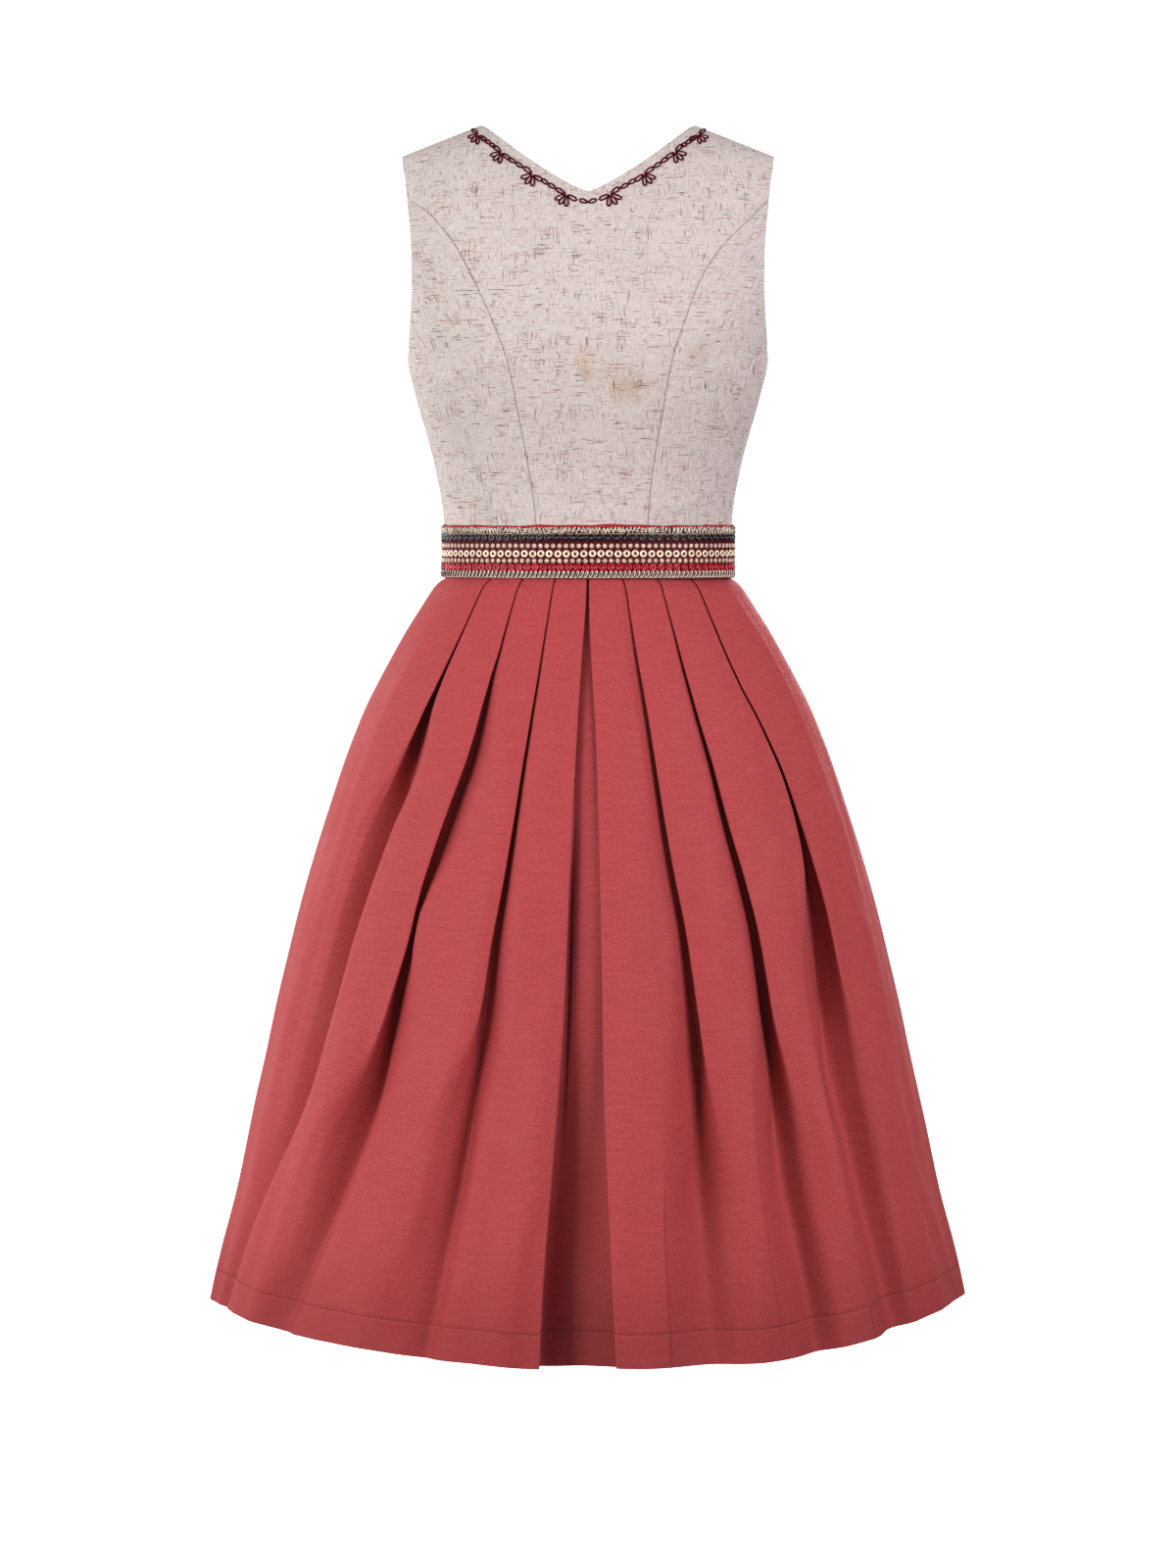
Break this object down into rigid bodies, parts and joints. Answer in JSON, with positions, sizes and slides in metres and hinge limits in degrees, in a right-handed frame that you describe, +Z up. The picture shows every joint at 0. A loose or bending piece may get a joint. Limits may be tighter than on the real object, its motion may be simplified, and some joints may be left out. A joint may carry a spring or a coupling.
{
  "type": "dirndl dress",
  "caption": "Sleeveless dirndl: V-neck slub linen bodice with princess seams, sequin-trimmed belt and pleated knee-length cotton skirt, filled out as worn.",
  "frame": {"origin": "between the wearer's shoulders, level with the middle of the two shoulder seams, where the shoulders carry the dress", "axes": "+Z up along the body, -Y the front of the dress, +X the wearer's left"},
  "size_m": [0.7126, 0.5788, 1.1062],
  "materials": {
    "bodice_front_centre": "slub linen",
    "bodice_side_front_left": "slub linen",
    "bodice_side_front_right": "slub linen",
    "bodice_back": "slub linen",
    "belt_band": "matte cotton",
    "belt_trim": "braid with sequins",
    "skirt_front": "matte cotton twill",
    "skirt_back": "matte cotton twill"
  },
  "bodies": {
    "root": {"bodice_front_centre": "bodice_front_centre", "bodice_side_front_left": "bodice_side_front_left", "bodice_side_front_right": "bodice_side_front_right", "bodice_back": "bodice_back", "belt_band": "belt_band", "belt_trim": "belt_trim", "skirt_front": "skirt_front", "skirt_back": "skirt_back"}
  },
  "joints": []
}
